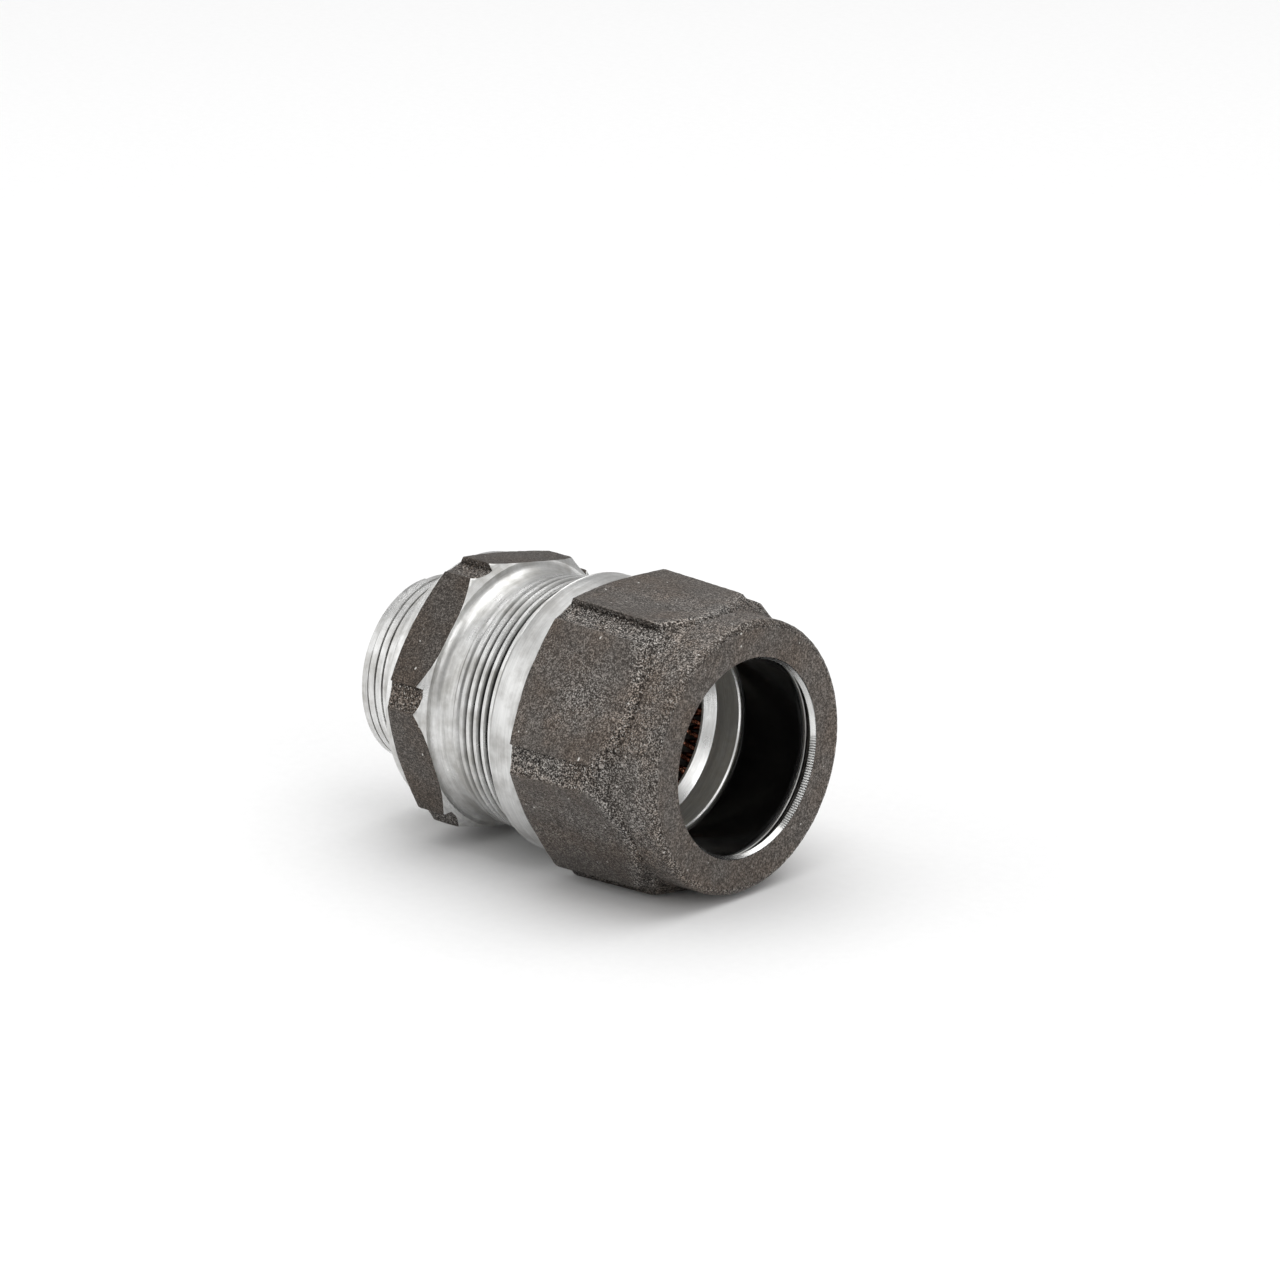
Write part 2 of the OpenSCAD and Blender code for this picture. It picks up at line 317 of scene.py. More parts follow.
# %% Rings of the nut
nut_rings = []
for step in range(4):
    nut_rings.append((TURNED, "back", step / 3))
for step in range(8):
    nut_rings.append((TURNED, "band", step / 7))
for step in range(1, 5):
    nut_rings.append((TURNED, "cone", step / 5))
for step in range(46):
    nut_rings.append((CAST, "flat", step / 45))
for step in range(1, 20):
    nut_rings.append((CAST, "shoulder", step / 20))
for step in range(14):
    nut_rings.append((CAST, "nose", step / 13))
for step in range(1, 8):
    nut_rings.append((CAST, "edge", step / 8))
for step in range(16):
    nut_rings.append((CAST, "face", step / 15))
for step in range(6):
    nut_rings.append((ACCENT, "mouth", step / 5))
nut_inside = [(nut_end_x - MOUTH_DEPTH - 0.15, MOUTH_R + 0.9), (wall_x, MOUTH_R + 0.9), (wall_x, 24),
              (wall_x, CAVITY_R - 0.4), (wall_x - 0.4, CAVITY_R), (wall_x - 6, CAVITY_R),
              (cavity_x, CAVITY_R), (cavity_x - 0.2, NUT_BORE_R),
              (hex_x, NUT_BORE_R), (nut_x + 1.4, NUT_BORE_R)]
for point in nut_inside:
    nut_rings.append((INSIDE, "inside", point))
print(len(nut_rings), "rings in the nut")


# %% [markdown]
# Each part of the nut has its own rule for the place of a vertex. The worn edges, two knocks across a flat
# and the lumps are all taken off the nominal shape, as wear and casting take metal away and never add it.

# %% Drawing the nut
# Size and depth of the lumps on each part of the casting
NUT_LUMPS = {"facet": (1.3, 0.30), "flat": (1.3, 0.10), "shoulder": (1.2, 0.26), "nose": (1.2, 0.16),
             "edge": (1.1, 0.14), "face": (1.6, 0.08)}
NOSE_ROUND = 1.8
WAIST = 0.32
FRONT_WEAR = 0.10
MOUTH_EDGE_R = 21.6
DENTS = ((hex_x + 7.5, 116, 0.55, 5.5, 0.30), (hex_x + 12.5, 113, 0.45, 3.5, 0.22))


def dents(x, angle):
    """Two knocks across a flat: each has its place and angle, its half width and half turn, and its depth."""
    depth = 0
    for dent_x, dent_angle, width, turn, deep in DENTS:
        away = math.hypot((x - dent_x) / width, (angle - dent_angle) / turn)
        depth += deep * max(0, 1 - away * away)
    return depth


def nut_place(ring, angle):
    finish, part, share = ring
    if part == "inside":
        return share
    if part == "back":
        return nut_x + 0.25 * max(0, share - 0.67) * 3, NUT_BORE_R + 0.9 + (BAND_R - NUT_BORE_R - 0.9) * share
    if part == "band":
        return nut_x + 0.45 + (hex_x - nut_x - 0.45) * share, BAND_R - 0.12 * max(0, 1 - 8 * share)
    cone_top = min(NUT_TURNED_R, hexagon_r(angle, NUT_FLATS, 0)[0])
    cone_x = hex_x + HEX_CONE * (cone_top - BAND_R) / (NUT_TURNED_R - BAND_R)
    if part == "cone":
        return hex_x + (cone_x - hex_x) * share, BAND_R + (cone_top - BAND_R) * share
    front_x = shoulder_start(angle)
    if part == "flat":
        x = cone_x + (front_x - cone_x) * share
        r, facet = drafted_r(x, angle)
        rough = NUT_LUMPS["facet" if facet else "flat"]
        worn = 0.16 * max(0, 1 - 26 * share) + FRONT_WEAR * max(0, 1 - 16 * (1 - share))
        return x, max(r - worn - dents(x, angle) - lumps(x, angle, r, *rough), NOSE_R - 0.2)
    if part == "shoulder":
        x = front_x + (nose_x - front_x) * share
        r = shoulder_r(x)
        waist = WAIST * math.sin(math.pi * share ** 1.2) ** 2 + FRONT_WEAR * max(0, 1 - 5 * share)
        return x, r - lumps(x, angle, r, *NUT_LUMPS[part]) - waist
    if part == "nose":
        x = nose_x + (nut_end_x - NOSE_ROUND - nose_x) * share
        return x, NOSE_R - lumps(x, angle, NOSE_R, *NUT_LUMPS[part])
    if part == "edge":
        quarter = math.radians(90 * share)
        x = nut_end_x - NOSE_ROUND * (1 - math.sin(quarter))
        r = NOSE_R - NOSE_ROUND * (1 - math.cos(quarter))
        return x, r - lumps(x, angle, r, *NUT_LUMPS[part])
    if part == "face":
        r = NOSE_R - NOSE_ROUND + (MOUTH_EDGE_R - NOSE_R + NOSE_ROUND) * share
        return nut_end_x - lumps(nut_end_x, angle, r, *NUT_LUMPS[part]), r
    reach = nut_end_x - 0.1 - (MOUTH_DEPTH - 0.1) * share
    return reach, MOUTH_THROAT_R + (MOUTH_EDGE_R - MOUTH_THROAT_R) * (1 - share)


def patch(x, angle, size, seed=0.0):
    """Slow variation over the casting, from 0 to 1."""
    around = math.radians(angle)
    spot = Vector((x, 30 * math.sin(around), 30 * math.cos(around))) / size + Vector((seed, 0, 0))
    return min(1, max(0, 0.5 + 0.8 * noise.noise(spot)))


def nut_wear_and_lighting(ring, angle):
    """Blasting bites most on the facets, at the flats' edges and on the shoulder. Flats and facets that face
    the light from above get more blasting, as painted light, and dirt with painted shade darkens the lip feet,
    the dents and the shoulder's hollow.
    """
    finish, part, share = ring
    if part == "flat":
        x = hex_x + (flats_end_x - hex_x) * share
        facet = hexagon_r(angle, NUT_FLATS, 0)[1]
        side = (angle + FLAT_HALF + 1e-6) % 60 - FLAT_HALF
        # Painted shade at the foot of each lip, under the step.
        foot_shade = max(0, 1 - abs(side - FLAT_HALF - LIP_LEAN) / 2.2) if facet else 0
        edge = max(0, 1 - 9 * (1 - share))
        face_middle = max(0, 1 - abs(side) / 20)
        # Painted light: faces turned towards the light from above get more blasting, so their grain shows
        # brighter; on a flat this is strongest in its middle.
        lit = 0.5 + 0.5 * math.cos(math.radians(angle - 40))
        if facet:
            return 0.7 + 0.3 * lit, 0.25 + 0.75 * foot_shade
        # Random dirt patches, and painted shade in the two dents.
        dirt_and_shade = 0.25 * patch(x, angle, 7, 9) + min(0.6, 3 * dents(x, angle))
        return min(1, 0.10 + 0.75 * lit * face_middle * patch(x, angle, 9) + 0.8 * edge), dirt_and_shade
    if part == "shoulder":
        # Painted shade in the hollow of the shoulder's waist.
        valley_shade = math.sin(math.pi * min(1, share * 1.25)) ** 2
        return 0.9 - 0.5 * share, 0.5 * valley_shade
    if part in ("nose", "edge"):
        return 0.45 + 0.2 * patch(nose_x, angle, 8), 0.12
    return 0.08, 0.0


nut_angles = hexagon_angles(0)
gland_nut = stacked_rings("cast_gland_nut", nut_angles, nut_rings, nut_place, nut_wear_and_lighting)


# %% Finishing the nut's mesh
finish_mesh(gland_nut, 34)


# %% [markdown]
# ## Screw threads
# A thread is one ridge wound round the axis. A stack of separate rings would look alike at a glance, but a
# nut can't travel on rings. The Screw modifier winds a section of the ridge along the axis, right-handed,
# and the two ends sink into the cylinder, as a die leaves them.

# %% A wound ridge
def wound_ridge(name, start_x, root_r, depth, pitch, turns, foot, crest, taper=0.0, run_in=0.0):
    """foot and crest are half widths as shares of the pitch. Over the first run_in turns the ridge is cut
    shallower, as where a die starts."""
    deselect_all()
    sunk = -0.25 if depth > 0 else 0.25
    section = [(-foot * pitch, sunk), (-foot * pitch, 0.0), (-crest * pitch, depth), (crest * pitch, depth),
               (foot * pitch, 0.0), (foot * pitch, sunk)]
    bpy.ops.mesh.primitive_circle_add(vertices=len(section), radius=MM, fill_type="NGON")
    ridge = bpy.context.object
    ridge.name = name
    for vertex, (along, rise) in zip(ridge.data.vertices, section):
        vertex.co = Vector(((start_x + along) * MM, 0, (root_r + rise) * MM))
    winding = ridge.modifiers.new("Winding", "SCREW")
    winding.axis = "X"
    winding.angle = 2 * math.pi * turns
    winding.screw_offset = pitch * turns * MM
    winding.steps = winding.render_steps = 96 * turns
    winding.use_smooth_shade = False
    bpy.ops.object.modifier_apply(modifier=winding.name)
    for vertex in ridge.data.vertices:
        x, y, z = vertex.co / MM
        r = math.hypot(y, z)
        angle = math.degrees(math.atan2(-y, z)) % 360
        turn = (x - start_x) / pitch
        turn = round(turn - angle / 360) + angle / 360
        run = min(1, max(0, 3 * min(turn, turns - turn)))
        if turn < run_in:
            run *= 0.55 + 0.45 * turn / run_in
        height = (r - root_r) * (run if (r - root_r) * depth > 0 else 1)
        if (r - root_r) * depth > 0:
            height -= 0.05 * (1 - run) * math.copysign(1, depth)
        scale = (root_r + height + taper * (x - start_x)) / r
        vertex.co.y *= scale
        vertex.co.z *= scale
    return ridge


def close_ends(ridge):
    deselect_all()
    bpy.context.view_layer.objects.active = ridge
    ridge.select_set(True)
    bpy.ops.object.mode_set(mode="EDIT")
    bpy.ops.mesh.select_all(action="SELECT")
    bpy.ops.mesh.remove_doubles(threshold=0.001 * MM)
    bpy.ops.mesh.select_all(action="DESELECT")
    bpy.ops.mesh.select_non_manifold()
    bpy.ops.mesh.edge_face_add()
    bpy.ops.object.mode_set(mode="OBJECT")
    return ridge


def join(piece, *others):
    deselect_all()
    for other in others:
        other.select_set(True)
    piece.select_set(True)
    bpy.context.view_layer.objects.active = piece
    bpy.ops.object.join()
    return piece


# %% The thread inside the nut
GLAND_PITCH = 2.117
GLAND_ROOT_R = 26.95
GLAND_DEPTH = 1.05
NECK_X = 15.25
THREAD_X = NECK_X + 2.6
nut_ridge_x = THREAD_X + GLAND_PITCH * (math.floor((nut_x - THREAD_X) / GLAND_PITCH) + 2)
nut_ridge = wound_ridge("nut_ridge", nut_ridge_x, NUT_BORE_R, 0.15 - GLAND_DEPTH, GLAND_PITCH, 3, 0.24, 0.05)
finish_mesh(close_ends(nut_ridge), 25)
join(gland_nut, nut_ridge)


# %% [markdown]
# ## The fitting body
# The body is one casting too. From its free end it has a tapered hub with a conduit thread, a turned collar
# that bears on the enclosure, the cast hexagon, a bright cone and a hollow fillet, a short neck, and the long
# gland thread that the nut runs on. Its inside has the throat, a seat for the stop, a cone, and the seal
# bore.

# %% Sizes of the body
FLANGE_FLATS = 57.4
FLANGE_TURN = -9.8
FLANGE_TURNED_R = FLANGE_FLATS / 2 / math.cos(math.radians(FLAT_HALF)) + 0.4
FLANGE_LENGTH = 10.8
COLLAR_R = 28.4
COLLAR_LENGTH = 2.0
COLLAR_CONE = 1.9
FILLET_X = 13.0
FILLET_R = 2.25
HUB_END_R = 20.66
HUB_DEPTH = 0.9
HUB_ROOT_R = HUB_END_R - HUB_DEPTH
HUB_RISE = 1 / 32
HUB_LEAD = 1.2
RUNOUT_X = -6.4
RUNOUT_R = HUB_END_R + 0.35
THROAT_R = 17.5
SEAL_BORE_R = 25.3
stop_x = low_x("end_stop")
stop_r = outer_r("end_stop")
SEAL_CONE = 33
CONE_MOUTH_X = 42.446
cone_foot_x = CONE_MOUTH_X - (SEAL_BORE_R - stop_r) / math.tan(math.radians(SEAL_CONE))

# %% [markdown]
# The body is listed in the same way. Most of its rings are plain circles, so they carry their place and
# radius directly, and only the hexagon and the pale run-out behind it need a rule.

# %% Rings of the body
body_rings = [(TURNED, "plain", (hub_x, THROAT_R + 0.5)), (TURNED, "plain", (hub_x, HUB_ROOT_R - 1.1)),
              (TURNED, "plain", (hub_x + 0.15, HUB_ROOT_R - 0.85)),
              (TURNED, "plain", (hub_x + HUB_LEAD, HUB_ROOT_R))]
for step in range(1, 8):
    x = hub_x + HUB_LEAD + (RUNOUT_X - hub_x - HUB_LEAD) * step / 7
    body_rings.append((TURNED, "plain", (x, HUB_ROOT_R + HUB_RISE * (x - hub_x))))
body_rings += [(TURNED, "plain", (RUNOUT_X + 0.8, RUNOUT_R))]
for step in range(1, 12):
    body_rings.append((ACCENT, "runout", step / 12))
body_rings += [(ACCENT, "plain", (-0.4, RUNOUT_R)), (TURNED, "plain", (0, RUNOUT_R + 0.4))]
for r in (23, 25, 27, COLLAR_R - 0.3):
    body_rings.append((TURNED, "plain", (0, r)))
body_rings += [(TURNED, "plain", (0.3, COLLAR_R)), (TURNED, "plain", (1.1, COLLAR_R)),
               (TURNED, "plain", (COLLAR_LENGTH, COLLAR_R))]
for step in range(1, 4):
    body_rings.append((TURNED, "back_cone", step / 4))
for step in range(22):
    body_rings.append((CAST, "flat", step / 21))
for step in range(1, 8):
    body_rings.append((TURNED, "front_cone", step / 7))
for step in range(1, 9):
    quarter = math.radians(90 * step / 8)
    body_rings.append((TURNED, "plain", (NECK_X - FILLET_R * math.cos(quarter),
                                         GLAND_ROOT_R + FILLET_R * (1 - math.sin(quarter)))))
for x in (16.2, 17.2, THREAD_X, 24, 30, 36, 42, 48, body_end_x - 6, body_end_x - 1):
    body_rings.append((TURNED, "plain", (x, GLAND_ROOT_R)))
body_rings += [(INSIDE, "plain", point) for point in (
    (body_end_x, GLAND_ROOT_R - 0.7), (body_end_x, SEAL_BORE_R + 0.3), (body_end_x - 0.3, SEAL_BORE_R),
    (56, SEAL_BORE_R), (48, SEAL_BORE_R), (CONE_MOUTH_X + 0.2, SEAL_BORE_R),
    (CONE_MOUTH_X - 0.2, SEAL_BORE_R - 0.13), ((CONE_MOUTH_X + cone_foot_x) / 2, (SEAL_BORE_R + stop_r) / 2),
    (cone_foot_x, stop_r), (stop_x + 3, stop_r), (stop_x, stop_r), (stop_x, THROAT_R + 1.5), (stop_x, THROAT_R),
    (20, THROAT_R), (8, THROAT_R), (-6, THROAT_R), (hub_x + 0.5, THROAT_R))]
print(len(body_rings), "rings in the body")


# %% Drawing the body
def body_place(ring, angle):
    finish, part, share = ring
    if part == "plain":
        return share
    if part == "runout":
        x = RUNOUT_X + 0.8 + (0.4 - RUNOUT_X - 1.2) * share - 0.4
        return x, RUNOUT_R - lumps(x, angle, RUNOUT_R, 1.6, 0.16)
    edge_r, facet = hexagon_r(angle, FLANGE_FLATS, FLANGE_TURN)
    back_x = COLLAR_LENGTH + COLLAR_CONE * (edge_r - COLLAR_R) / (FLANGE_TURNED_R - COLLAR_R)
    front_rise = GLAND_ROOT_R + FILLET_R
    cone_slope = (FLANGE_TURNED_R - front_rise) / (FILLET_X - FLANGE_LENGTH)
    if edge_r > front_rise:
        front_x = FILLET_X - (edge_r - front_rise) / cone_slope
    else:
        front_x = NECK_X - FILLET_R * math.cos(math.asin(1 - (edge_r - GLAND_ROOT_R) / FILLET_R))
    if part == "back_cone":
        return COLLAR_LENGTH + (back_x - COLLAR_LENGTH) * share, COLLAR_R + (edge_r - COLLAR_R) * share
    if part == "flat":
        x = back_x + (front_x - back_x) * share
        worn = 0.12 * (max(0, 1 - 12 * share) + max(0, 1 - 12 * (1 - share)))
        rough = 0.22 if facet else 0.09
        return x, edge_r - worn - lumps(x, angle, edge_r, 1.3, rough)
    end_x = max(FILLET_X, front_x)
    x = front_x + (end_x - front_x) * share
    return x, max(min(edge_r, front_rise + (FILLET_X - x) * cone_slope), GLAND_ROOT_R) \
        if front_x < FILLET_X else edge_r


def body_wear_and_shade(ring, angle):
    finish, part, share = ring
    if part != "flat":
        return 0.5, 0.0
    facet = hexagon_r(angle, FLANGE_FLATS, FLANGE_TURN)[1]
    side = (angle - FLANGE_TURN + FLAT_HALF + 1e-6) % 60 - FLAT_HALF
    # Painted shade at the foot of each lip on the flange, under the step.
    foot_shade = max(0, 1 - abs(side - FLAT_HALF - LIP_LEAN) / 2.2)
    return (0.7, 0.4 + 0.6 * foot_shade) if facet else (0.12, 0.35 + 0.2 * patch(5, angle, 8, 4))


fitting_body = stacked_rings("turned_fitting_body", hexagon_angles(FLANGE_TURN, 30, 10), body_rings, body_place,
                             body_wear_and_shade)
finish_mesh(fitting_body, 30)


# %% The two threads of the body
HUB_PITCH = 2.209
SPIGOT_LENGTH = 11
gland_turns = math.floor((body_end_x - SPIGOT_LENGTH - THREAD_X - GLAND_PITCH) / GLAND_PITCH)
hub_turns = math.floor((RUNOUT_X - hub_x - HUB_LEAD) / HUB_PITCH) + 1
gland_ridge = wound_ridge("gland_ridge", THREAD_X + GLAND_PITCH / 2, GLAND_ROOT_R, GLAND_DEPTH, GLAND_PITCH,
                          gland_turns, 0.42, 0.19, run_in=3.2)
finish_mesh(close_ends(gland_ridge), 25)
hub_ridge = wound_ridge("hub_ridge", hub_x + HUB_LEAD, HUB_ROOT_R, HUB_DEPTH, HUB_PITCH, hub_turns, 0.47, 0.37,
                        taper=HUB_RISE)
finish_mesh(close_ends(hub_ridge), 25)
join(fitting_body, gland_ridge, hub_ridge)


# %% [markdown]
# ## The seal pack
# Behind the nut's front wall come a thin steel washer, the rubber bushing, the gland ring and the spring. The
# rubber closes on the cable jacket, and the ring pushes the spring on the armour. They are plain rings, so
# each is one turned profile, with its edges broken as a lathe or a mould leaves them.

# %% Slip washer
washer_low = low_x("slip_washer")
washer_high = high_x("slip_washer")
washer_out_r = outer_r("slip_washer")
WASHER_IN_R = 21.8
EDGE = 0.15
slip_washer = turned("steel_slip_washer", [
    (washer_low, WASHER_IN_R + EDGE), (washer_low, washer_out_r - EDGE), (washer_low + EDGE, washer_out_r),
    (washer_high - EDGE, washer_out_r), (washer_high, washer_out_r - EDGE), (washer_high, WASHER_IN_R + EDGE),
    (washer_high - EDGE, WASHER_IN_R), (washer_low + EDGE, WASHER_IN_R)])

# %% Rubber bushing
bushing_low = low_x("sealing_bushing")
bushing_high = high_x("sealing_bushing")
BUSHING_BORE_R = 21.9
BUSHING_CHAMFER = 0.8
RUBBER_ROUND = 0.45
bushing_profile = [(bushing_low, pack_r - BUSHING_CHAMFER), (bushing_low + 0.4, pack_r - 0.4)]
bushing_profile += [(bushing_low + BUSHING_CHAMFER, pack_r), (bushing_low + 6, pack_r),
                    (bushing_high - 6, pack_r)]
bushing_profile += [(bushing_high - x, pack_r - d) for x, d in ((0.3, 0), (0.09, 0.09), (0, 0.3))]
for step in range(6):
    quarter = math.radians(90 * step / 5)
    bushing_profile.append((bushing_high - RUBBER_ROUND * (1 - math.cos(quarter)),
                            BUSHING_BORE_R + RUBBER_ROUND * (1 - math.sin(quarter))))
for step in range(1, 12):
    share = step / 12
    wave = 0.05 * math.sin(math.pi * share)
    bushing_profile.append((bushing_high + (bushing_low - bushing_high) * share, BUSHING_BORE_R + wave))
bushing_profile += [(bushing_low + 0.3, BUSHING_BORE_R), (bushing_low, BUSHING_BORE_R + 0.3)]
sealing_bushing = turned("rubber_sealing_bushing", bushing_profile, sharp_angle=50)

# %% Gland ring
ring_low = low_x("gland_ring")
ring_high = high_x("gland_ring")
RING_BORE_R = 21.4
RING_LAND_R = 19.45
RING_LIP = 0.3
gland_ring = turned("turned_gland_ring", [
    (ring_low + 0.15, RING_LAND_R), (ring_low, RING_LAND_R + 0.15), (ring_low, 22), (ring_low, pack_r - 0.3),
    (ring_low + 0.3, pack_r), (ring_low + 5, pack_r), (ring_high - 0.3, pack_r), (ring_high, pack_r - 0.3),
    (ring_high, 23), (ring_high, RING_BORE_R + RING_LIP), (ring_high - RING_LIP, RING_BORE_R + 0.02),
    (ring_high - RING_LIP - 0.1, RING_BORE_R), (ring_high - 3, RING_BORE_R),
    (ring_low + 0.75 + RING_BORE_R - RING_LAND_R, RING_BORE_R),
    (ring_low + 0.7 + RING_BORE_R - RING_LAND_R, RING_BORE_R - 0.05), (ring_low + 0.75, RING_LAND_R + 0.05),
    (ring_low + 0.7, RING_LAND_R)], sharp_angle=20)

# %% [markdown]
# A sharp tool leaves a brighter face than the rest of the ring. Those faces are chosen by how they lean.

# %% The bright cuts on the ring
RING_CUT = 1
ring_marks = gland_ring.data.attributes.new("finish", "INT", "FACE")
for face in gland_ring.data.polygons:
    lean = abs(face.normal.x)
    inward = math.hypot(face.center.y, face.center.z) / MM < RING_BORE_R + RING_LIP
    if inward and 0.3 < lean < 0.95:
        ring_marks.data[face.index].value = RING_CUT

# %% Armour stop
STOP_WALL = 2.2
STOP_BORE_R = stop_r - STOP_WALL
stop_high = high_x("end_stop")
end_stop = turned("moulded_end_stop", [
    (stop_x, STOP_BORE_R + 0.2), (stop_x, 20), (stop_x, stop_r - 0.3), (stop_x + 0.3, stop_r),
    (stop_high - 0.3, stop_r), (stop_high, stop_r - 0.3), (stop_high, 20), (stop_high, STOP_BORE_R + 0.6),
    (stop_high - 0.2, STOP_BORE_R + 0.2), (stop_high - 0.6, STOP_BORE_R), (stop_x + 0.2, STOP_BORE_R)])

# %% [markdown]
# ## The grounding spring
# One copper alloy wire is wound as a coil and closed on itself, like a garter spring. A curve through the
# middle of the wire, given a round bevel, is the natural way to make it, and the curve is then turned into a
# mesh.

# %% Grounding spring
COIL_TURNS = 48
WIRE_R = 0.55
WIRE_STEPS = 14
COIL_D = 4.9
COIL_PLAY = 0.2
spring_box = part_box("grounding_spring")
coil_x = (spring_box[0].x + spring_box[1].x) / 2 / MM
COIL_R = (COIL_D - 2 * WIRE_R) / 2
COIL_RING_R = RING_LAND_R + COIL_PLAY + COIL_D / 2
deselect_all()
wire = bpy.data.curves.new("wire", "CURVE")
wire.dimensions = "3D"
wire.bevel_depth = WIRE_R * 0.98 * MM
wire.bevel_resolution = 2
line = wire.splines.new("POLY")
line.points.add(COIL_TURNS * WIRE_STEPS - 1)
for index, point in enumerate(line.points):
    wind = 2 * math.pi * index / WIRE_STEPS
    along = wind / COIL_TURNS
    r = COIL_RING_R + COIL_R * math.cos(wind)
    x = coil_x + COIL_R * math.sin(wind)
    point.co = (x * MM, -r * math.sin(along) * MM, r * math.cos(along) * MM, 1)
line.use_cyclic_u = True
grounding_spring = bpy.data.objects.new("copper_grounding_spring", wire)
bpy.context.scene.collection.objects.link(grounding_spring)
grounding_spring.select_set(True)
bpy.context.view_layer.objects.active = grounding_spring
bpy.ops.object.convert(target="MESH")
finish_mesh(grounding_spring, 60)


# %% [markdown]
# ## Finishes
# Every finish starts from the place of a point on the object. Turned metal needs one more thing: its lines
# run round the axis, on a cylinder and on a flat face alike. A noise that reads the distance along the axis
# and the distance from the axis, but hardly the angle, gives such lines everywhere.

# %% Helpers for materials
def new_finish(name):
    finish = bpy.data.materials.new(name)
    finish.use_nodes = True
    tree = finish.node_tree
    return finish, tree, tree.nodes["Principled BSDF"]


def add_node(tree, kind, **settings):
    node = tree.nodes.new(kind)
    for key, value in settings.items():
        setattr(node, key, value)
    return node


def place_of(tree):
    return add_node(tree, "ShaderNodeTexCoord").outputs["Object"]


def noise_of(tree, vector, scale, detail=3.0, roughness=0.55):
    node = add_node(tree, "ShaderNodeTexNoise")
    node.inputs["Scale"].default_value = scale
    node.inputs["Detail"].default_value = detail
    node.inputs["Roughness"].default_value = roughness
    tree.links.new(vector, node.inputs["Vector"])
    return node.outputs["Fac"]


def ramp_of(tree, value, stops):
    """Colours between places on the way from 0 to 1; each stop is a place and a colour."""
    node = add_node(tree, "ShaderNodeValToRGB")
    ramp = node.color_ramp
    while len(ramp.elements) < len(stops):
        ramp.elements.new(1.0)
    for element, (place, colour) in zip(ramp.elements, stops):
        element.position = place
        element.color = (*colour, 1)
    tree.links.new(value, node.inputs["Fac"])
    return node.outputs["Color"]


def range_of(tree, value, low, high, to_low, to_high):
    node = add_node(tree, "ShaderNodeMapRange")
    for key, number in (("From Min", low), ("From Max", high), ("To Min", to_low), ("To Max", to_high)):
        node.inputs[key].default_value = number
    tree.links.new(value, node.inputs["Value"])
    return node.outputs["Result"]


def blend_of(tree, share, first, second, kind="MIX"):
    """The share may be a plain number, and the second a plain colour."""
    node = add_node(tree, "ShaderNodeMix", data_type="RGBA", blend_type=kind)
    if isinstance(share, float):
        node.inputs["Factor"].default_value = share
    else:
        tree.links.new(share, node.inputs["Factor"])
    tree.links.new(first, node.inputs[6])
    if isinstance(second, tuple):
        node.inputs[7].default_value = (*second, 1)
    else:
        tree.links.new(second, node.inputs[7])
    return node.outputs[2]


def tint_of(tree, first, second):
    return blend_of(tree, 1.0, first, second, "MULTIPLY")


def math_of(tree, kind, first, second):
    node = add_node(tree, "ShaderNodeMath", operation=kind)
    for socket, value in zip(node.inputs, (first, second)):
        if isinstance(value, (int, float)):
            socket.default_value = value
        else:
            tree.links.new(value, socket)
    return node.outputs["Value"]


def bump_of(tree, height, distance, strength=1.0, under=None):
    node = add_node(tree, "ShaderNodeBump")
    node.inputs["Strength"].default_value = strength
    node.inputs["Distance"].default_value = distance * MM
    tree.links.new(height, node.inputs["Height"])
    if under is not None:
        tree.links.new(under, node.inputs["Normal"])
    return node.outputs["Normal"]


def parts_of(tree):
    """X, Y and Z of a point's place, each by itself."""
    split = add_node(tree, "ShaderNodeSeparateXYZ")
    tree.links.new(place_of(tree), split.inputs["Vector"])
    return split.outputs


TURN_SHARE = 0.0008


def lathe_place(tree):
    """Along the axis, away from the axis, and a little of the angle."""
    place = parts_of(tree)
    square_y = math_of(tree, "MULTIPLY", place["Y"], place["Y"])
    square_z = math_of(tree, "MULTIPLY", place["Z"], place["Z"])
    away = math_of(tree, "SQRT", math_of(tree, "ADD", square_y, square_z), 0.0)
    angle = math_of(tree, "ARCTAN2", place["Y"], place["Z"])
    gather = add_node(tree, "ShaderNodeCombineXYZ")
    tree.links.new(place["X"], gather.inputs["X"])
    tree.links.new(away, gather.inputs["Y"])
    tree.links.new(math_of(tree, "MULTIPLY", angle, TURN_SHARE), gather.inputs["Z"])
    return gather.outputs["Vector"], away


# %% [markdown]
# ** Cast skin.** Shot-blasted aluminium is dark and warm, and it sparkles: its grain is a fine crumple of
# small mirrors. Two sizes of grain go into the bump, a few pits are darker, and the tops of the grain are
# brighter. The sparkle is also painted into the colour as sparse pale flecks, painted glints, and the
# colour is darkened by dirt and by painted shade.

# %% Cast skin
def attribute_of(tree, name):
    return add_node(tree, "ShaderNodeAttribute", attribute_name=name).outputs["Fac"]


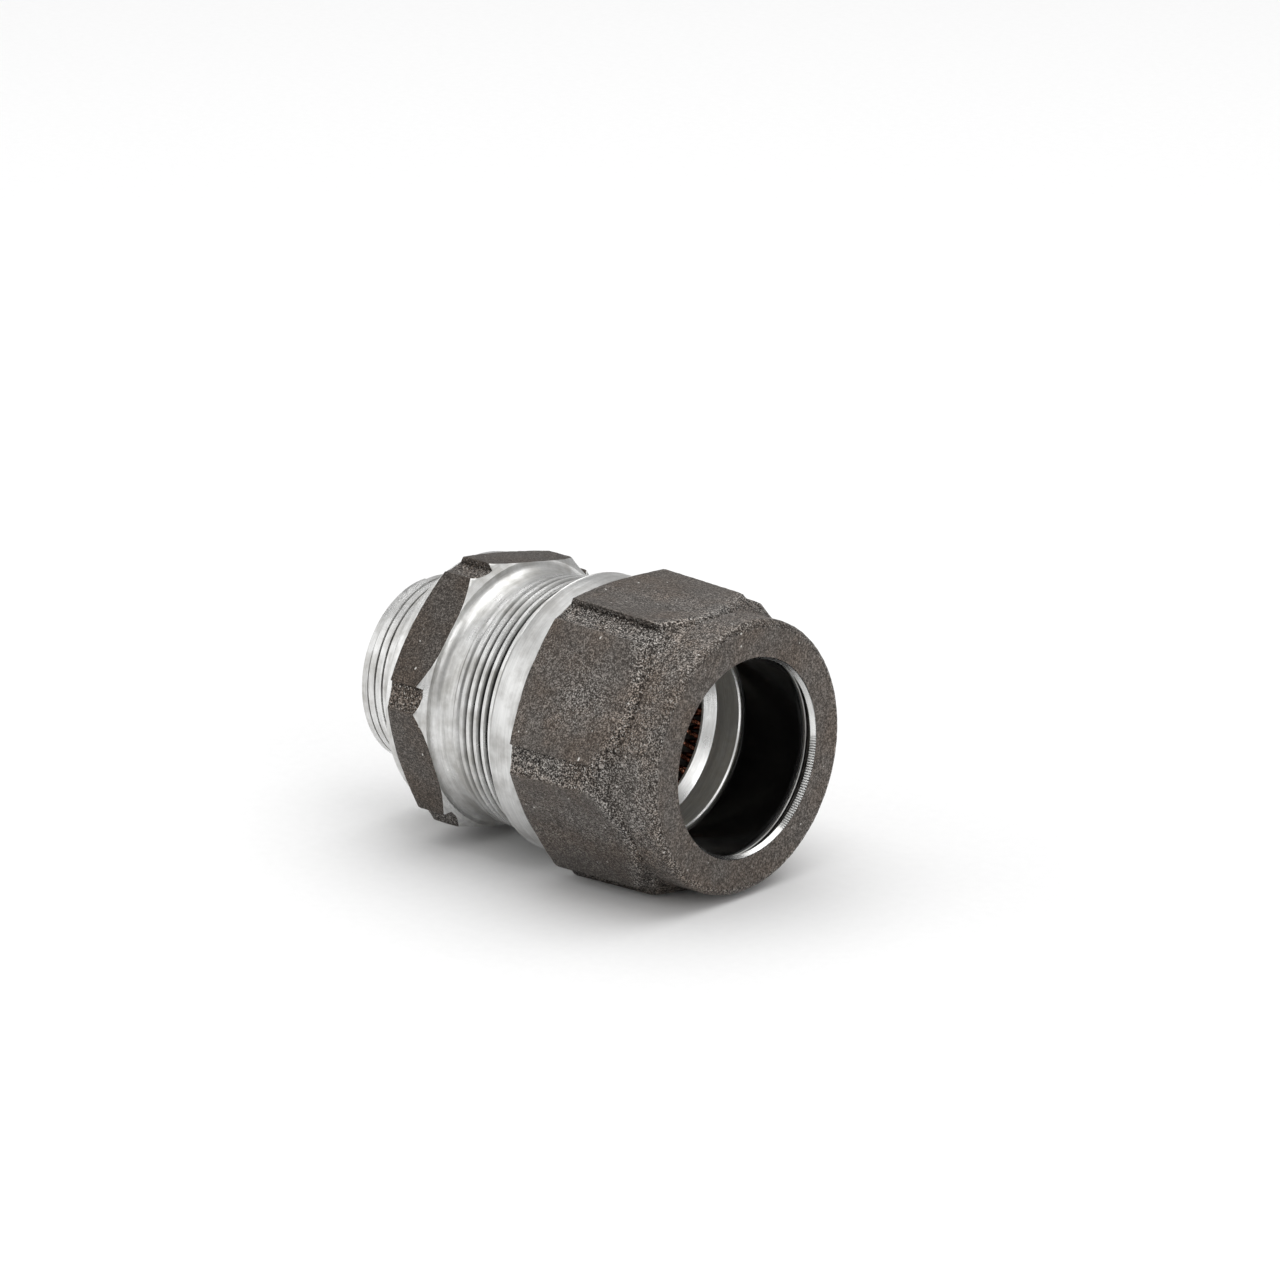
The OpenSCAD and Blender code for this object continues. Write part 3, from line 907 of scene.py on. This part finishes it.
def cast_skin():
    finish, tree, shader = new_finish("cast_skin")
    place = place_of(tree)
    blasting_and_light = attribute_of(tree, "blasting_and_light")
    grain = noise_of(tree, place, 2900, 2.0, 0.6)
    clumps = noise_of(tree, place, 1300, 3.0, 0.6)
    stain = noise_of(tree, place, 90, 4.0, 0.6)
    glints = noise_of(tree, place, 3200, 0.0, 0.5)
    mixed = math_of(tree, "ADD", math_of(tree, "MULTIPLY", grain, 0.7), math_of(tree, "MULTIPLY", clumps, 0.3))
    rough_tone = ramp_of(tree, mixed, [(0.38, (0.008, 0.007, 0.006)), (0.50, (0.075, 0.068, 0.063)),
                                       (0.62, (0.58, 0.55, 0.52))])
    smooth_tone = ramp_of(tree, mixed, [(0.36, (0.055, 0.048, 0.043)), (0.50, (0.110, 0.099, 0.090)),
                                        (0.66, (0.23, 0.208, 0.19))])
    tone = blend_of(tree, blasting_and_light, smooth_tone, rough_tone)
    warm = ramp_of(tree, stain, [(0.42, (1.0, 0.99, 0.98)), (0.66, (1.0, 0.90, 0.82))])
    tinted = tint_of(tree, tone, warm)
    # The colour is darkened by dirt, and by painted shade in the hollows, at the lip feet and in the dents.
    dirt_and_shade = ramp_of(tree, attribute_of(tree, "grime_and_shade"), [(0.0, (1, 1, 1)), (1.0, (0.30, 0.28, 0.26))])
    soiled_and_shaded = tint_of(tree, tinted, dirt_and_shade)
    # Painted glints: sparse flecks of pale metal colour where the blasting, which also holds painted light, is
    # strong.
    painted_glint = ramp_of(tree, glints, [(0.0, (0, 0, 0)), (0.70, (0, 0, 0)), (0.76, (1, 1, 1))])
    bare = (0.60, 0.58, 0.55)
    painted_glints_here = math_of(tree, "MULTIPLY", painted_glint, blasting_and_light)
    knocks = noise_of(tree, place, 1100, 0.0, 0.5)
    nicks = ramp_of(tree, knocks, [(0.0, (0, 0, 0)), (0.83, (0, 0, 0)), (0.86, (1, 1, 1))])
    colour = blend_of(tree, math_of(tree, "MAXIMUM", painted_glints_here, nicks), soiled_and_shaded, bare)
    tree.links.new(colour, shader.inputs["Base Color"])
    shader.inputs["Metallic"].default_value = 0.85
    tree.links.new(range_of(tree, mixed, 0.3, 0.7, 0.62, 0.42), shader.inputs["Roughness"])
    bite = range_of(tree, blasting_and_light, 0.0, 1.0, 0.25, 1.0)
    coarse = bump_of(tree, math_of(tree, "MULTIPLY", clumps, bite), 0.28, 0.8)
    fine = bump_of(tree, math_of(tree, "MULTIPLY", grain, bite), 0.18, 0.9, under=coarse)
    tree.links.new(fine, shader.inputs["Normal"])
    return finish


# %% [markdown]
# ** Pale skin and inside skin.** Between the conduit thread and the flange the casting was never blasted
# dark. It is pale, with a soft crust. Inside, the cuts are painted near black as painted shade, so they
# show dark behind the spring.

# %% Pale run-out and painted-shade inside
def crusted_metal(name, low, high, roughness, bite):
    finish, tree, shader = new_finish(name)
    place = place_of(tree)
    crust = noise_of(tree, place, 700, 5.0, 0.65)
    cloud = noise_of(tree, place, 150, 4.0, 0.6)
    mixed = math_of(tree, "ADD", math_of(tree, "MULTIPLY", crust, 0.5), math_of(tree, "MULTIPLY", cloud, 0.5))
    tree.links.new(ramp_of(tree, mixed, [(0.38, low), (0.60, high)]), shader.inputs["Base Color"])
    shader.inputs["Metallic"].default_value = 0.9
    tree.links.new(range_of(tree, crust, 0.3, 0.7, roughness + 0.1, roughness - 0.1),
                   shader.inputs["Roughness"])
    tree.links.new(bump_of(tree, crust, bite, 0.8), shader.inputs["Normal"])
    return finish


# %% [markdown]
# ** Turned aluminium.** The lathe leaves fine bright lines, broad hazy bands where the tool dwelt, and a few
# nicks from handling. In the threads the distance from the axis darkens the roots, as painted shade in the
# grooves.

# %% Turned metal
CHATTER_COUNT = 240
CHATTER_FROM = 98
CHATTER_TO = 142
CHATTER_FADE = 8


def chatter_marks(tree, away):
    """Ticks that the boring tool left around part of the mouth's edge."""
    place = parts_of(tree)
    angle = math_of(tree, "ARCTAN2", place["Y"], place["Z"])
    ticks = math_of(tree, "SINE", math_of(tree, "MULTIPLY", angle, CHATTER_COUNT), 0.0)
    begun = range_of(tree, angle,
                     math.radians(CHATTER_FROM - CHATTER_FADE), math.radians(CHATTER_FROM), 0.0, 1.0)
    ended = range_of(tree, angle,
                     math.radians(CHATTER_TO), math.radians(CHATTER_TO + CHATTER_FADE), 1.0, 0.0)
    at_edge = range_of(tree, away, (MOUTH_EDGE_R - 0.1) * MM, (MOUTH_EDGE_R + 0.1) * MM, 1.0, 0.0)
    in_reach = range_of(tree, place["X"], (nut_end_x - MOUTH_DEPTH - 0.2) * MM, (nut_end_x - MOUTH_DEPTH) * MM,
                        0.0, 1.0)
    return math_of(tree, "MULTIPLY", math_of(tree, "MULTIPLY", ticks, math_of(tree, "MULTIPLY", begun, ended)),
                   math_of(tree, "MULTIPLY", at_edge, in_reach))


def turned_metal(name, colour, haze, lines=0.02, roughness=0.30, threads=(), chatter=False):
    finish, tree, shader = new_finish(name)
    lathe, away = lathe_place(tree)
    fine = noise_of(tree, lathe, 9000, 3.0, 0.6)
    broad = noise_of(tree, lathe, 900, 3.0, 0.6)
    smudge = noise_of(tree, place_of(tree), 130, 4.0, 0.6)
    nicks = noise_of(tree, place_of(tree), 1500, 2.0, 0.6)
    tone = ramp_of(tree, math_of(tree, "ADD", math_of(tree, "MULTIPLY", fine, 0.5),
                                 math_of(tree, "MULTIPLY", broad, 0.5)),
                   [(0.34, tuple(c * 0.72 for c in colour)), (0.60, colour)])
    clean = ramp_of(tree, smudge, [(0.38, haze), (0.58, (1, 1, 1))])
    toned = tint_of(tree, tone, clean)
    # Painted shade: the roots and low flanks of each thread are darkened by their distance from the axis,
    # fading in along the axis.
    for root_r, depth, dark, unshaded_x, shaded_x in threads:
        height = range_of(tree, away, (root_r - depth) * MM, (root_r + depth) * MM, 0.0, 1.0)
        grime_and_shade = ramp_of(tree, height, [(0.0, (1, 1, 1)), (0.40, (1, 1, 1)), (0.46, (dark, dark, dark)),
                                       (0.68, (0.35 + 0.6 * dark,) * 3), (0.90, (1, 1, 1))])
        along = range_of(tree, parts_of(tree)["X"], unshaded_x * MM, shaded_x * MM, 0.0, 1.0)
        toned = blend_of(tree, along, toned, grime_and_shade, "MULTIPLY")
    tree.links.new(toned, shader.inputs["Base Color"])
    shader.inputs["Metallic"].default_value = 1.0
    tree.links.new(range_of(tree, smudge, 0.35, 0.65, roughness + 0.12, roughness - 0.04),
                   shader.inputs["Roughness"])
    ridges = bump_of(tree, fine, lines, 0.8)
    waves = bump_of(tree, broad, lines * 1.5, 0.6, under=ridges)
    if chatter:
        waves = bump_of(tree, chatter_marks(tree, away), 0.22, 1.0, under=waves)
    tree.links.new(bump_of(tree, nicks, lines * 1.5, 0.5, under=waves), shader.inputs["Normal"])
    return finish


# %% [markdown]
# **Rubber, copper and plastic.** Moulded rubber is deep black with a soft gloss and a trace of dust. The
# spring's wire is dull red-brown with drawing marks. The stop is a plain pale moulding with a fine matt skin.

# %% Rubber
def black_rubber():
    finish, tree, shader = new_finish("black_rubber")
    dust = noise_of(tree, place_of(tree), 900, 5.0, 0.65)
    bloom = noise_of(tree, place_of(tree), 90, 3.0, 0.5)
    tree.links.new(ramp_of(tree, dust, [(0.6, (0.003, 0.003, 0.003)), (0.9, (0.015, 0.015, 0.015))]),
                   shader.inputs["Base Color"])
    shader.inputs["Specular IOR Level"].default_value = 0.25
    tree.links.new(range_of(tree, bloom, 0.3, 0.7, 0.12, 0.24), shader.inputs["Roughness"])
    tree.links.new(bump_of(tree, dust, 0.02, 0.5), shader.inputs["Normal"])
    return finish


# %% Copper wire
def spring_copper():
    finish, tree, shader = new_finish("spring_copper")
    tarnish = noise_of(tree, place_of(tree), 500, 3.0, 0.6)
    drawn = noise_of(tree, place_of(tree), 4000, 2.0, 0.6)
    tree.links.new(ramp_of(tree, tarnish, [(0.35, (0.22, 0.075, 0.045)), (0.60, (0.55, 0.24, 0.15))]),
                   shader.inputs["Base Color"])
    shader.inputs["Metallic"].default_value = 1.0
    tree.links.new(range_of(tree, tarnish, 0.3, 0.7, 0.30, 0.16), shader.inputs["Roughness"])
    tree.links.new(bump_of(tree, drawn, 0.02, 0.5), shader.inputs["Normal"])
    return finish


# %% Moulded plastic
def stop_plastic():
    finish, tree, shader = new_finish("stop_plastic")
    skin = noise_of(tree, place_of(tree), 2500, 3.0, 0.6)
    cloud = noise_of(tree, place_of(tree), 80, 3.0, 0.6)
    tree.links.new(ramp_of(tree, cloud, [(0.35, (0.60, 0.57, 0.50)), (0.65, (0.74, 0.71, 0.64))]),
                   shader.inputs["Base Color"])
    tree.links.new(range_of(tree, skin, 0.3, 0.7, 0.55, 0.40), shader.inputs["Roughness"])
    tree.links.new(bump_of(tree, skin, 0.02, 0.5), shader.inputs["Normal"])
    return finish


# %% Giving the pieces their finishes
skin = cast_skin()
# The thread entries paint shade into the roots of the gland and hub threads.
bright_turned = turned_metal("turned_aluminium", (0.82, 0.82, 0.81), (0.66, 0.65, 0.63), 0.035, 0.28,
                             threads=[(GLAND_ROOT_R, GLAND_DEPTH, 0.03, THREAD_X - 0.5, THREAD_X + 6),
                                      (HUB_ROOT_R + 0.15, HUB_DEPTH, 0.85, RUNOUT_X, RUNOUT_X - 1)])
band_turned = turned_metal("turned_band", (0.72, 0.72, 0.71), (0.70, 0.69, 0.68), 0.03, 0.32)
mouth_cut = turned_metal("mouth_cut", (0.97, 0.97, 0.96), (0.90, 0.90, 0.89), 0.01, 0.20, chatter=True)
washer_metal = turned_metal("washer_metal", (0.45, 0.45, 0.44), (0.82, 0.80, 0.78), 0.01, 0.34)
ring_metal = turned_metal("ring_metal", (0.86, 0.85, 0.81), (0.88, 0.86, 0.83), 0.012, 0.55)
ring_cut = turned_metal("ring_cut", (0.93, 0.93, 0.92), (0.95, 0.95, 0.94), 0.01, 0.26)
pale_runout = crusted_metal("pale_runout", (0.50, 0.49, 0.47), (0.85, 0.84, 0.81), 0.42, 0.12)
# The inside surfaces are painted near black, as painted shade.
shaded_inside = crusted_metal("shaded_inside", (0.05, 0.045, 0.04), (0.16, 0.15, 0.14), 0.5, 0.05)
finishes = [
    (fitting_body, "fitting_body", "connector", "machined_aluminium",
     [bright_turned, skin, pale_runout, shaded_inside]),
    (gland_nut, "gland_nut", "nut", "cast_aluminium", [band_turned, skin, mouth_cut, shaded_inside]),
    (slip_washer, "slip_washer", "nut_carriage", "washer_metal", [washer_metal]),
    (sealing_bushing, "sealing_bushing", "nut_carriage", "black_rubber", [black_rubber()]),
    (gland_ring, "gland_ring", "ring_group", "ring_metal", [ring_metal, ring_cut]),
    (grounding_spring, "grounding_spring", "ring_group", "spring_copper", [spring_copper()]),
    (end_stop, "end_stop", "connector", "stop_plastic", [stop_plastic()]),
]
for piece, node, body, slot, materials in finishes:
    for material in materials:
        piece.data.materials.append(material)
    marks = piece.data.attributes.get("finish")
    if marks:
        for face in piece.data.polygons:
            face.material_index = marks.data[face.index].value
    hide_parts(node)
    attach(piece, body)
    print(piece.name, "stands for", node, "and rides on", body)

# %% [markdown]
# The CAD pieces are hidden under the new ones, and each still gets its finish.

# %% Finishes on the hidden CAD pieces
for piece, node, body, slot, materials in finishes:
    cad_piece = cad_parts[node]
    cad_piece.data.materials.clear()
    cad_piece.data.materials.append(materials[0])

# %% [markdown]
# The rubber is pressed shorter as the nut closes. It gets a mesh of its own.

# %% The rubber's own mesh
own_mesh(sealing_bushing)

# %% [markdown]
# ## Floor, light and camera
# The floor is a wide pale sheet that the fitting rests on with one flat of the nut. The light is soft and
# comes from big panels, because metal shows what it reflects: broad panels make broad smooth gradients.

# %% Floor
deselect_all()
bpy.ops.mesh.primitive_plane_add(size=14, location=(0, 0, floor_z))
floor = bpy.context.object
floor.name = "floor"
floor_finish, floor_tree, floor_shader = new_finish("pale_floor")
paper = noise_of(floor_tree, place_of(floor_tree), 400, 4.0, 0.6)
floor_tree.links.new(ramp_of(floor_tree, paper, [(0.3, (0.88, 0.88, 0.88)), (0.7, (0.90, 0.90, 0.90))]),
                     floor_shader.inputs["Base Color"])
floor_shader.inputs["Roughness"].default_value = 0.9
floor.data.materials.append(floor_finish)

# %% [markdown]
# An even world fills the shadows, one long panel on the left draws the bright lines on the turned metal, a
# large panel overhead lights the cast skin, and a small one in front reaches into the mouth.

# %% World and panels
world = bpy.data.worlds.new("studio")
bpy.context.scene.world = world
world.use_nodes = True
world.node_tree.nodes["Background"].inputs["Color"].default_value = (1, 1, 1, 1)
world.node_tree.nodes["Background"].inputs["Strength"].default_value = 0.45


def panel(name, place, size, power, aim=(0.03, 0, 0)):
    light = bpy.data.lights.new(name, "AREA")
    light.shape = "RECTANGLE"
    light.size, light.size_y = size
    light.energy = power
    lamp = bpy.data.objects.new(name, light)
    lamp.location = place
    lamp.rotation_euler = (Vector(place) - Vector(aim)).to_track_quat("Z", "Y").to_euler()
    bpy.context.scene.collection.objects.link(lamp)
    return lamp


panel("panel_left", (-0.90, -0.90, 0.45), (1.8, 1.2), 5.5)
panel("panel_top", (0.0, 0.3, 1.6), (2.4, 2.4), 28)
panel("panel_front", (1.2, -0.3, 0.60), (0.8, 0.8), 3.0)

# %% [markdown]
# A long lens far away flattens the view, as in a product picture.

# %% Camera
CAMERA_TURN = math.radians(-47.56)
CAMERA_RISE = math.radians(17.71)
CAMERA_DISTANCE = 1.4797
camera_aim = Vector((0.0368, 0.0113, 0.0144))
look_back = Vector((math.cos(CAMERA_RISE) * math.cos(CAMERA_TURN),
                    math.cos(CAMERA_RISE) * math.sin(CAMERA_TURN), math.sin(CAMERA_RISE)))
camera_data = bpy.data.cameras.new("camera")
camera_data.lens = 196.9
camera_data.sensor_width = 36
camera_data.clip_end = 20
camera = bpy.data.objects.new("camera", camera_data)
camera.location = camera_aim + look_back * CAMERA_DISTANCE
camera.rotation_euler = look_back.to_track_quat("Z", "Y").to_euler()
bpy.context.scene.collection.objects.link(camera)
bpy.context.scene.camera = camera
bpy.context.scene.view_settings.view_transform = "Standard"
